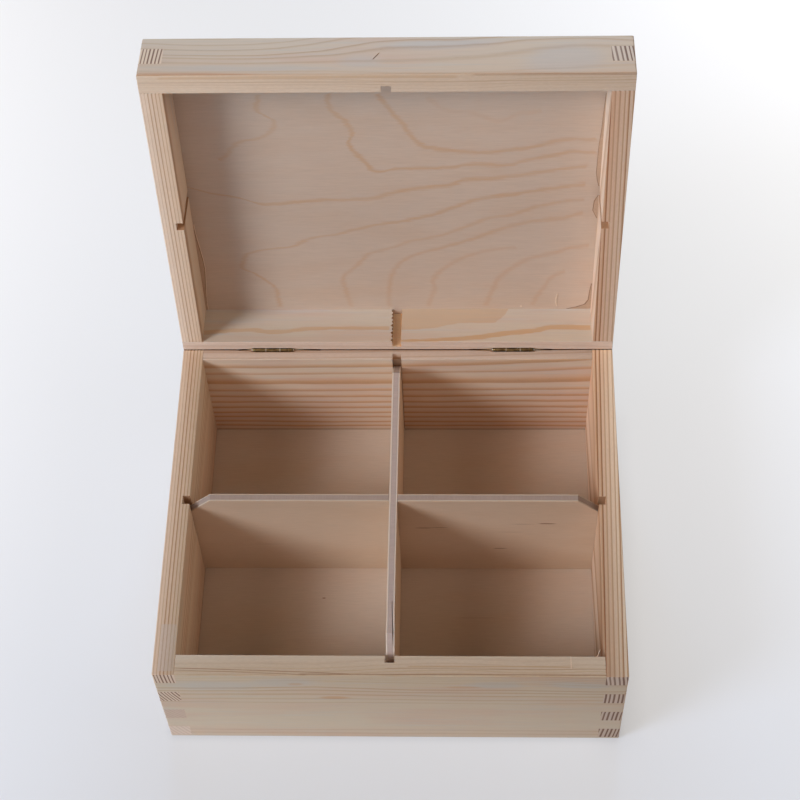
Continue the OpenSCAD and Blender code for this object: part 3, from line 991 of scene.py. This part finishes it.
def split(piece, middle, size, axis, turn, on_lid=False):
    """Cuts a thin slot into a piece. The slot turns round its middle. Lengths are in mm."""
    middle = Vector(middle) * MM
    half = Vector(size) * MM / 2
    cutter = block("cutter", middle - half, middle + half)
    cutter.matrix_world = (Matrix.Translation(middle) @ Matrix.Rotation(math.radians(turn), 4, axis)
                           @ Matrix.Translation(-middle))
    bpy.ops.object.transform_apply(location=True, rotation=True, scale=True)
    if on_lid:
        open_up(cutter)
    only(piece)
    cut = piece.modifiers.new("Split", "BOOLEAN")
    cut.operation = "DIFFERENCE"
    cut.solver = "EXACT"
    cut.object = cutter
    bpy.ops.object.modifier_apply(modifier=cut.name)
    bpy.data.objects.remove(cutter)


# Small dents in the boards, in mm on the shut box: middle, size, axis and turn in degrees
CUTS = {
    "lid_front_board": ((-4.45, -93.35, 83.95), (0.4, 1.1, 5.2), "Y", 32),
    "lid_right_board": ((99.7, -1.5, 93.8), (1.5, 6.2, 1.8), "Y", 0),
    "lid_left_board": ((-99.6, -3.2, 84.0), (0.8, 0.3, 17), "X", -13.8),
}
# How far the groove in the lid's back board is chipped along its left edge, point by point
GROOVE_TEETH = (-1.1, 0.1, -0.8, 0.0, -1.3, 0.1, -0.7, 0.1, -1.2, 0.0, -0.7, 0.1, -1.1, 0.05, -0.9,
                0.0, -1.0)
# Where that edge lies along the shut box
GROOVE_SIDE = (-6 * MM, -0.5 * MM)


def fray_groove(piece):
    """Chips the left edge of the groove in the lid's back board."""
    def is_groove(edge):
        a, b = (SHUT @ piece.data.vertices[end].co for end in edge.vertices)
        on_face = all(abs(end.y - HALF_D + WALL_T) < NEAR for end in (a, b))
        upright = abs(a.x - b.x) < NEAR and abs(a.z - b.z) > 10 * MM
        return on_face and upright and GROOVE_SIDE[0] < a.x < GROOVE_SIDE[1]

    pick(piece, "EDGE", is_groove)
    bpy.ops.mesh.subdivide(number_cuts=len(GROOVE_TEETH))
    bpy.ops.object.mode_set(mode="OBJECT")
    chosen = sorted((v for v in piece.data.vertices if v.select), key=lambda v: tuple(v.co))
    for number, shift in zip([v.index for v in chosen[1:-1]], GROOVE_TEETH):
        pick(piece, "VERT", lambda v: v.index == number)
        bpy.ops.transform.translate(value=(shift * MM, 0, 0))
    bpy.ops.object.mode_set(mode="OBJECT")


def pin_ends(side):
    """Places along X at which a hinge's pin begins and ends."""
    low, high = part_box(f"{side}_hinge_pin")
    return low.x, high.x


def slim(piece, low, high, share, near=None):
    """Narrows the part of a piece that lies between two distances from the hinges' axis.

    near: places along the axis where this is done, as (lowest, highest). Without it, all of the piece.
    """
    def chosen(point):
        away = Vector((0, point.co.y - HINGE_AXIS.y, point.co.z - HINGE_AXIS.z)).length
        there = near is None or any(first < point.co.x < last for first, last in near)
        return there and low < away < high

    pick(piece, "VERT", chosen)
    bpy.ops.transform.resize(value=(1, share, share), center_override=HINGE_AXIS)
    bpy.ops.object.mode_set(mode="OBJECT")


# The saw slots' narrowed ends: where they lie beyond the pin's ends, distance of their walls from the
# hinges' axis across and in height, and how far each wall moves
SLOT_ENDS = (2.5 * MM, 20 * MM)
SLOT_HALF = (0.5 * MM, 1.0 * MM)
SLOT_DEEP = 11 * MM
SLOT_SHIFT = 0.5 * MM


def thin_slots(piece, on_lid):
    """Narrows the ends of a back board's two saw slots, where no hinge leaf fills them."""
    turn = SHUT if on_lid else Matrix.Identity(4)
    across = turn.inverted().to_3x3() @ Vector((0, 1, 0))
    for left, right in (pin_ends("left"), pin_ends("right")):
        for way in (1, -1):
            def chosen(point):
                place = turn @ point.co
                beyond = abs(place.x - (left + right) / 2) - (right - left) / 2
                off = (place.y - HINGE_AXIS.y) * way
                return (SLOT_ENDS[0] < beyond < SLOT_ENDS[1] and SLOT_HALF[0] < off < SLOT_HALF[1]
                        and abs(place.z - HINGE_AXIS.z) < SLOT_DEEP)

            pick(piece, "VERT", chosen)
            bpy.ops.transform.translate(value=across * -SLOT_SHIFT * way)
    bpy.ops.object.mode_set(mode="OBJECT")


# The hollows for the hinge barrels in the back boards: how far they reach beyond the pins, their radii,
# and what is left of those
HOLLOW_BEYOND = 1.5 * MM
HOLLOW_RADII = (1.0 * MM, 2.1 * MM)
HOLLOW_SHARE = 0.7


class BoardsOperator(bpy.types.Operator):
    """Makes the eight wall boards, with eased edges and the grain of their logs"""

    bl_idname = "compartment_box.boards"
    bl_label = "Wall Boards"

    def execute(self, context):
        sizes = context.scene.box_sizes
        barrels = [(left - HOLLOW_BEYOND, right + HOLLOW_BEYOND)
                   for left, right in (pin_ends("left"), pin_ends("right"))]
        for wall, log in LOGS.items():
            for body, on_lid in (("body", False), ("lid", True)):
                node = f"lid_{wall}_board" if on_lid else f"{wall}_board"
                piece = copy_of(node, f"{node}_eased")
                if wall == "back":
                    slim(piece, *HOLLOW_RADII, HOLLOW_SHARE, barrels)
                    thin_slots(piece, on_lid)
                if node == "lid_back_board":
                    fray_groove(piece)
                ease_edges(piece, wall_ease(sizes, on_lid))
                if node in CUTS:
                    split(piece, *CUTS[node], on_lid)
                settle(piece, body, "pine", pine(node, log, on_lid), node)
        return {"FINISHED"}


# Heights of the panels' two faces on the whole box, and the thickness of their face veneers, in mm
PANEL_HEIGHTS = {"bottom_panel": (0, 3.8), "lid_panel": (97.2, 100.2)}
PANEL_VENEER = 0.6


class PanelsOperator(bpy.types.Operator):
    """Makes the plywood bottom and the lid panel"""

    bl_idname = "compartment_box.panels"
    bl_label = "Plywood Panels"

    def execute(self, context):
        sizes = context.scene.box_sizes
        colours = context.scene.box_colours
        for node, body in (("bottom_panel", "body"), ("lid_panel", "lid")):
            on_lid = body == "lid"
            low, high = PANEL_HEIGHTS[node]
            piece = copy_of(node, f"{node}_plywood")
            ease_edges(piece, lambda a, b: sizes.ply_ease)
            core_half = (high - low) / 2 - PANEL_VENEER
            if on_lid:
                material = plywood("plywood_lid_panel", "x", "z", (low + high) / 2, core_half,
                                   colours.veneer, 21, True, figure=panel_figure)
            else:
                material = plywood("plywood_bottom_panel", "x", "z", (low + high) / 2, core_half,
                                   colours.bottom, 22, marks=FLOOR_MARKS)
            settle(piece, body, "panel_plywood", material, node)
        return {"FINISHED"}


# The split between the core and the right veneer of the long divider, at its front end: middle, size,
# axis and turn in degrees
SPLIT = ((1.0, -66.5, 73), (0.24, 21, 7), "Z", 2.1)


# The right veneer beside the split: where it bends, the part that moves (from this place across, between
# these along, down to this depth), and how far that moves
BEND = -60 * MM
PEEL_FROM = 1.32 * MM
PEEL_ALONG = (-76 * MM, -70 * MM)
PEEL_DEEP = 1.2 * MM
PEEL_SHIFT = 0.25 * MM


def peel(piece):
    """Bends the long divider's right veneer outwards at the front end of its split."""
    in_edit(piece)
    bpy.ops.mesh.select_all(action="SELECT")
    bpy.ops.mesh.bisect(plane_co=(0, BEND, 0), plane_no=(0, 1, 0))

    def chosen(point):
        x, y, z = point.co
        return x > PEEL_FROM and PEEL_ALONG[0] < y < PEEL_ALONG[1] and z > DIVIDER_TOP - PEEL_DEEP

    pick(piece, "VERT", chosen)
    bpy.ops.transform.translate(value=(PEEL_SHIFT, 0, 0))
    bpy.ops.object.mode_set(mode="OBJECT")


# Edges of a divider that lie below this are its foot
FOOT_TOP = 5 * MM


def foot_ease(sizes):
    """Gives the rounding of each edge of a divider: more along its foot."""
    return lambda a, b: sizes.foot_ease if max(a.z, b.z) < FOOT_TOP else sizes.ply_ease


# Painted light and shade on the dividers' edges: lighter and bluer on the long one, darker on the cross one
EDGE_LIGHT = {"cross_divider": (0.85, 0.85, 0.85), "long_divider": (1.05, 1.1, 1.17)}


class DividersOperator(bpy.types.Operator):
    """Makes the two crossed dividers, with their veneers and the split in the long one"""

    bl_idname = "compartment_box.dividers"
    bl_label = "Dividers"

    def execute(self, context):
        sizes = context.scene.box_sizes
        colours = context.scene.box_colours
        core_half = (DIVIDER_T / 2 - sizes.veneer) / MM
        for node, runs, edge_axis in (("cross_divider", "x", "y"), ("long_divider", "y", "x")):
            is_long = node == "long_divider"
            piece = copy_of(node, f"{node}_plywood")
            ease_edges(piece, foot_ease(sizes))
            if is_long:
                split(piece, *SPLIT)
                peel(piece)
            material = plywood(f"plywood_{node}", runs, edge_axis, 0, core_half, colours.divider_face, 31,
                               marks=() if is_long else DIVIDER_MARKS, edge_light=EDGE_LIGHT[node])
            settle(piece, "body", "divider_plywood", material, node, smooth=not is_long)
        return {"FINISHED"}


# The parts of a hinge: name, body, and where and by what share each is thinner than in the CAD model
HINGE_PARTS = (
    ("hinge_body_leaf", "body", 0.9 * MM, 1.55 * MM, 0.6),
    ("hinge_lid_leaf", "lid", 0.9 * MM, 1.55 * MM, 0.6),
    ("hinge_pin", "body", 0.5 * MM, 0.9 * MM, 0.7),
)


class HingesOperator(bpy.types.Operator):
    """Makes the hinge leaves and pins with eased edges"""

    bl_idname = "compartment_box.hinges"
    bl_label = "Hinges"

    def execute(self, context):
        sizes = context.scene.box_sizes
        for side in ("left", "right"):
            left, right = pin_ends(side)
            material = brass_metal(f"brass_{side}", (left + right) / 2 / MM, (right - left) / MM)
            for part, body, *thinner in HINGE_PARTS:
                node = f"{side}_{part}"
                piece = copy_of(node, f"{node}_brass")
                slim(piece, *thinner)
                ease_edges(piece, lambda a, b: sizes.brass_ease, 2)
                settle(piece, body, "brass", material, node)
        return {"FINISHED"}


# Studio lamps: name, turn from the front towards the right and height above the floor in degrees,
# distance and width in metres, watts, colour
LAMPS = (
    ("window", -60, 36, 3.5, 1.3, 67.7, (1.0, 0.79, 0.66)),
    ("window_edge", -60, 36, 1.5, 0.6, 6.7, (0.10, 0.59, 1.0)),
    ("window_top", -65, 52, 2.2, 0.8, 5.8, (1.0, 0.75, 0.61)),
    ("ceiling", 0, 65, 2.2, 1.4, 3.5, (1.0, 0.64, 0.41)),
    ("front_fill", 0, 40, 2.2, 1.2, 4.5, (1.0, 0.81, 0.85)),
    ("right_fill", 80, 35, 2.2, 1.2, 9.9, (1.0, 0.77, 0.60)),
    ("back_fill", 180, 20, 2.2, 1.2, 43.7, (0.65, 0.84, 1.0)),
)
# The lamps point at this place in the box
LAMPS_AIM = Vector((0, 0, 0.05))


def lamp(name, turn, up, far, width, power, colour):
    """A round soft lamp that points at the box."""
    light = bpy.data.lights.new(name, "AREA")
    light.shape = "DISK"
    light.size = width
    light.energy = power
    light.color = colour
    holder = bpy.data.objects.new(name, light)
    turn, up = math.radians(turn), math.radians(up)
    way = Vector((math.sin(turn) * math.cos(up), -math.cos(turn) * math.cos(up), math.sin(up)))
    holder.location = way * far
    holder.rotation_euler = (LAMPS_AIM - way * far).to_track_quat("-Z", "Y").to_euler()
    bpy.context.scene.collection.objects.link(holder)


# The floor's glow in the camera's view, in green: factors of 1, x, y, xx, yy, xy, xxx, xxy, xyy, yyy,
# with x and y in metres. Its red and blue differ from that by factors of 1, x, y.
GLOW_GREEN = (0.502, 0.142, 0.432, 1.952, -0.112, 0.352, -2.588, 1.329, 2.095, -0.686)
GLOW_RED = (0.032, -0.03, 0.036)
GLOW_BLUE = (-0.045, 0.036, -0.066)
GLOW_MOST = 0.85
# The stretch of floor that the photo shows, in metres. Beyond it the glow stays as at its edge.
GLOW_ACROSS = (-0.28, 0.26)
GLOW_ALONG = (-0.14, 0.43)
# Colour of the light that the floor gives back to the camera apart from its glow
FLOOR_SHEEN = (0.21, 0.26, 0.35, 1)
# Shadow at the foot of the box: how near it lies all round, how far it spreads to the right, where that
# spreading sets in (in metres from the middle), and how dark each of the two is
NEAR_SHADOW = 4 * MM
WIDE_SHADOW = 16 * MM
WIDE_SETS_IN = (0.09, 0.12)
NEAR_DARK = 0.3
WIDE_DARK = 0.35


def floor_paint():
    """The floor as the camera sees it, with a soft shadow, and as it lights the box."""
    colours = bpy.context.scene.box_colours
    r = Recipe("studio_floor")
    x = (r.x / 1000).at_least(GLOW_ACROSS[0]).at_most(GLOW_ACROSS[1])
    y = (r.y / 1000).at_least(GLOW_ALONG[0]).at_most(GLOW_ALONG[1])
    terms = (1, x, y, x * x, y * y, x * y, x * x * x, x * x * y, x * y * y, y * y * y)

    def sum_of(factors):
        total = factors[0]
        for factor, term in zip(factors[1:], terms[1:]):
            total = term * factor + total
        return total

    green = sum_of(GLOW_GREEN).at_most(GLOW_MOST)
    glow = r.spot(green + sum_of(GLOW_RED), green, green + sum_of(GLOW_BLUE))
    close, wide = (r.node("ShaderNodeAmbientOcclusion", {"samples": 8}, {"Distance": reach}, "AO")
                   for reach in (NEAR_SHADOW, WIDE_SHADOW))
    on_right = (r.x / 1000).ramp(*WIDE_SETS_IN) * WIDE_DARK
    open_share = (1 - NEAR_DARK * (1 - close)) * (1 - on_right * (1 - wide))
    matt = {"Roughness": 0.9, "Specular IOR Level": 0.1}
    seen = r.node("ShaderNodeBsdfPrincipled", {}, {
        "Base Color": FLOOR_SHEEN, "Emission Color": r.shade(glow, open_share),
        "Emission Strength": 1.0, **matt})
    unseen = r.node("ShaderNodeBsdfPrincipled", {}, {"Base Color": (*colours.floor, 1), **matt})
    watched = r.node("ShaderNodeLightPath", {}, {}, "Is Camera Ray")
    return r.output(r.node("ShaderNodeMixShader", {}, {0: watched, 1: unseen, 2: seen}))


# Height of the lid panel's inside on the whole box, in mm
LID_FACE = 94.4
# Dried glue on the lid panel. Each kind: its name, its colour, its thickness and how far it reaches into
# the panel, then its strips: left edge, right edge and place along Y of each station, all in mm
LID_MARKS = (
    ("glue_film", "glue_film", 0.16, 0.12, {
        "left_glue_film": (
            (-99.6, -99.3, 21), (-99.6, -98.9, 28), (-99.6, -97.9, 37.5), (-99.6, -97.2, 45),
            (-99.6, -96.9, 52), (-99.6, -97.4, 60), (-99.6, -98.2, 70), (-99.6, -98.7, 78),
            (-99.6, -98.4, 82.8)),
        "right_glue_film": (
            (99.4, 99.6, -62), (98.8, 99.6, -49), (98.5, 99.6, -40), (97.8, 99.6, -30),
            (97.6, 99.6, -20), (97.5, 99.6, -13), (98.2, 99.6, -8), (99.2, 99.6, -4)),
        "right_glue_drop": ((99.2, 99.6, 2), (97.5, 99.6, 6), (97.1, 99.6, 12), (99.3, 99.6, 17.5)),
        "corner_glue": (
            (99.1, 99.6, 64), (98.4, 99.6, 70), (98.1, 99.6, 76), (96.5, 99.6, 79.3),
            (92.5, 99.6, 81.2), (87.5, 99.6, 82.6)),
    }),
    ("glue_bead", "glue", 0.3, 0.26, {
        "left_glue_bead": (
            (-99.3, -99.05, 21), (-98.95, -98.7, 28), (-97.95, -97.65, 37.5), (-97.25, -96.95, 45),
            (-96.95, -96.65, 52), (-97.45, -97.15, 60), (-98.25, -97.95, 70), (-98.7, -98.45, 78),
            (-98.4, -98.15, 82.8)),
        "panel_sliver": ((81.7, 82.4, 71.7), (81.1, 81.9, 75), (81.1, 81.9, 78), (81.8, 82.3, 80.8)),
        "panel_chip": ((63.4, 64.0, 80.3), (63.2, 64.2, 80.8), (63.5, 63.9, 81.2)),
    }),
    ("glue_edge", "glue_shade", 0.2, 0.16, {
        "left_glue_edge": (
            (-99.6, -99.4, 25), (-99.1, -98.85, 32), (-98.2, -97.9, 40), (-97.5, -97.2, 47),
            (-97.3, -97.0, 53), (-97.8, -97.5, 60), (-98.5, -98.2, 70), (-98.9, -98.7, 78)),
        "right_glue_edge": (
            (99.3, 99.5, -62), (98.7, 98.85, -49), (98.4, 98.6, -40), (97.7, 97.85, -30),
            (97.5, 97.7, -20), (97.35, 97.6, -13), (98.0, 98.3, -8), (99.0, 99.3, -4)),
        "right_drop_edge": ((99.0, 99.3, 2), (97.3, 97.7, 6), (96.9, 97.2, 12), (99.1, 99.4, 17.5)),
        "corner_edge": (
            (98.9, 99.2, 64), (98.2, 98.5, 70), (97.8, 98.2, 76), (96.1, 96.7, 79.3),
            (92.0, 92.9, 81.2), (87.0, 88.2, 82.6)),
    }),
)
# Loose fibres on the body's rim, in the same way, and their thickness and reach into the wood
RIM_FIBRES = {
    "front_splinter": (
        (95.4, 95.7, -83.1), (96.0, 96.35, -82.0), (96.5, 96.8, -80.8), (97.2, 97.35, -79.4)),
    "front_rim_glue": ((83.45, 83.7, -89), (83.5, 83.75, -86), (83.5, 83.75, -82.9)),
}
FIBRE_T = 0.12
FIBRE_SUNK = 0.04


class MarksOperator(bpy.types.Operator):
    """Makes the dried glue along the lid panel, and the loose fibres on the rims"""

    bl_idname = "compartment_box.marks"
    bl_label = "Glue and Fibres"

    def execute(self, context):
        colours = context.scene.box_colours
        paints = {}
        for kind, colour, thick, sunk, strips in LID_MARKS:
            paints[kind] = dried_glue(kind, getattr(colours, colour))
            for name, stations in strips.items():
                piece = ribbon(name, stations, thick, LID_FACE - sunk, True)
                settle(piece, "lid", "panel_plywood", paints[kind])
        for name, stations in RIM_FIBRES.items():
            piece = ribbon(name, stations, FIBRE_T, BODY_H / MM - FIBRE_SUNK)
            settle(piece, "body", "pine", paints["glue_bead"])
        return {"FINISHED"}


# Width of the floor in metres, and how far it lies below the box
FLOOR_W = 12
FLOOR_GAP = 0.3 * MM
# The camera that took the photo: lens and sensor in mm, place in metres, turn in degrees
LENS = 84.265
SENSOR_W = 36
CAMERA_PLACE = (0.03516789, -0.45472769, 0.86205866)
CAMERA_TURN = (32.97622565, 1.69313633, 1.08065581)
CAMERA_CLIP = (0.02, 50)


class StageOperator(bpy.types.Operator):
    """Sets the floor, the lights, the world and the camera"""

    bl_idname = "compartment_box.stage"
    bl_label = "Stage"

    def execute(self, context):
        scene = context.scene
        deselect()
        bpy.ops.mesh.primitive_plane_add(size=FLOOR_W, location=(0, 0, -FLOOR_GAP))
        floor = context.active_object
        floor.name = "studio_floor"
        bpy.ops.object.transform_apply(location=True, rotation=True, scale=True)
        floor.data.materials.append(floor_paint())

        world = bpy.data.worlds.new("studio_world")
        scene.world = world
        world.use_nodes = True
        world.node_tree.nodes["Background"].inputs["Strength"].default_value = 0

        for values in LAMPS:
            lamp(*values)

        lens = bpy.data.cameras.new("photo_camera")
        lens.lens = LENS
        lens.sensor_width = SENSOR_W
        lens.clip_start, lens.clip_end = CAMERA_CLIP
        camera = bpy.data.objects.new("photo_camera", lens)
        camera.location = CAMERA_PLACE
        camera.rotation_euler = [math.radians(angle) for angle in CAMERA_TURN]
        scene.collection.objects.link(camera)
        scene.camera = camera
        scene.view_settings.view_transform = "Standard"
        return {"FINISHED"}


class BoxPanel(bpy.types.Panel):
    """Sizes, colours and steps of the box in the sidebar"""

    bl_idname = "VIEW3D_PT_compartment_box"
    bl_label = "Compartment Box"
    bl_space_type = "VIEW_3D"
    bl_region_type = "UI"
    bl_category = "Compartment Box"

    def draw(self, context):
        for group in (context.scene.box_sizes, context.scene.box_colours):
            column = self.layout.column(align=True)
            for name in group.__annotations__:
                column.prop(group, name)
        for step in STEPS:
            self.layout.operator(step.bl_idname)


STEPS = (BoardsOperator, PanelsOperator, DividersOperator, HingesOperator, MarksOperator, StageOperator)
CLASSES = (BoxSizes, BoxColours, *STEPS, BoxPanel)


def register():
    for kind in CLASSES:
        bpy.utils.register_class(kind)
    bpy.types.Scene.box_sizes = bpy.props.PointerProperty(type=BoxSizes)
    bpy.types.Scene.box_colours = bpy.props.PointerProperty(type=BoxColours)


def unregister():
    del bpy.types.Scene.box_colours
    del bpy.types.Scene.box_sizes
    for kind in reversed(CLASSES):
        bpy.utils.unregister_class(kind)


def main():
    register()
    bpy.ops.compartment_box.boards()
    bpy.ops.compartment_box.panels()
    bpy.ops.compartment_box.dividers()
    bpy.ops.compartment_box.hinges()
    bpy.ops.compartment_box.marks()
    bpy.ops.compartment_box.stage()


if __name__ == "__main__":
    main()
